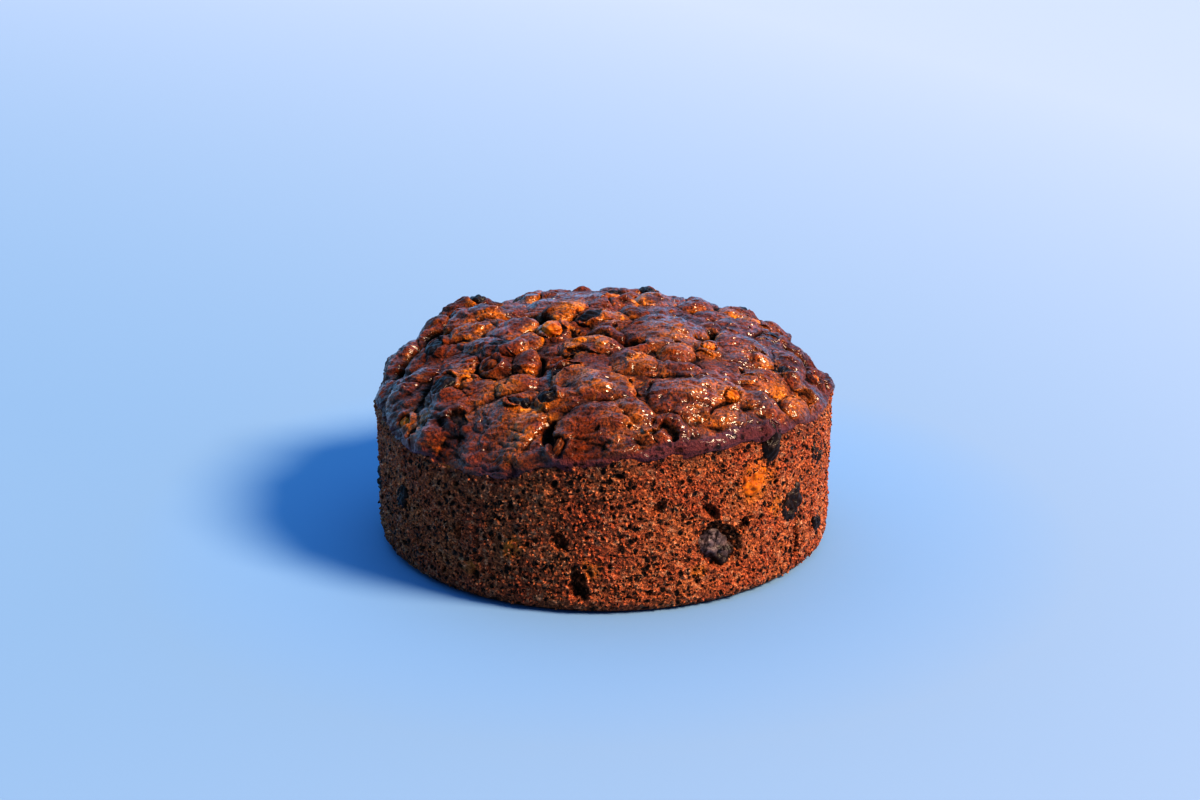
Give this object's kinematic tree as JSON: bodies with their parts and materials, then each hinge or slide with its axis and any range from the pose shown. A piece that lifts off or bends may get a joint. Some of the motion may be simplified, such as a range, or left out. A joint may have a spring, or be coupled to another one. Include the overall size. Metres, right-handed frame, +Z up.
{
  "type": "fruit cake",
  "caption": "Round dark fruit cake, whole and undecorated, with a glossy folded crust risen over a porous crumb wall, studded with raisins, sultanas and candied peel.",
  "frame": {"origin": "centre of the flat base, where the cake stands", "axes": "+Z up along the cake's axis, -Y towards the side that the picture shows, +X to its right"},
  "size_m": [0.1518, 0.1511, 0.0751],
  "materials": {
    "cake": "satin",
    "raisin": "satin",
    "sultana": "gloss",
    "peel": "gloss"
  },
  "bodies": {
    "root": {"cake": "cake", "peel_01": "peel", "peel_02": "peel", "peel_03": "peel", "peel_04": "peel", "peel_05": "peel", "peel_06": "peel", "peel_07": "peel", "peel_08": "peel", "peel_09": "peel", "peel_10": "peel", "peel_11": "peel", "raisin_01": "raisin", "raisin_02": "raisin", "raisin_03": "raisin", "raisin_04": "raisin", "raisin_05": "raisin", "raisin_06": "raisin", "raisin_07": "raisin", "raisin_08": "raisin", "raisin_09": "raisin", "raisin_10": "raisin", "raisin_11": "raisin", "raisin_12": "raisin", "raisin_13": "raisin", "raisin_14": "raisin", "raisin_15": "raisin", "raisin_16": "raisin", "raisin_17": "raisin", "raisin_18": "raisin", "raisin_19": "raisin", "raisin_20": "raisin", "raisin_21": "raisin", "raisin_22": "raisin", "raisin_23": "raisin", "raisin_24": "raisin", "raisin_25": "raisin", "raisin_26": "raisin", "raisin_27": "raisin", "raisin_28": "raisin", "raisin_29": "raisin", "sultana_01": "sultana", "sultana_02": "sultana", "sultana_03": "sultana"}
  },
  "joints": []
}
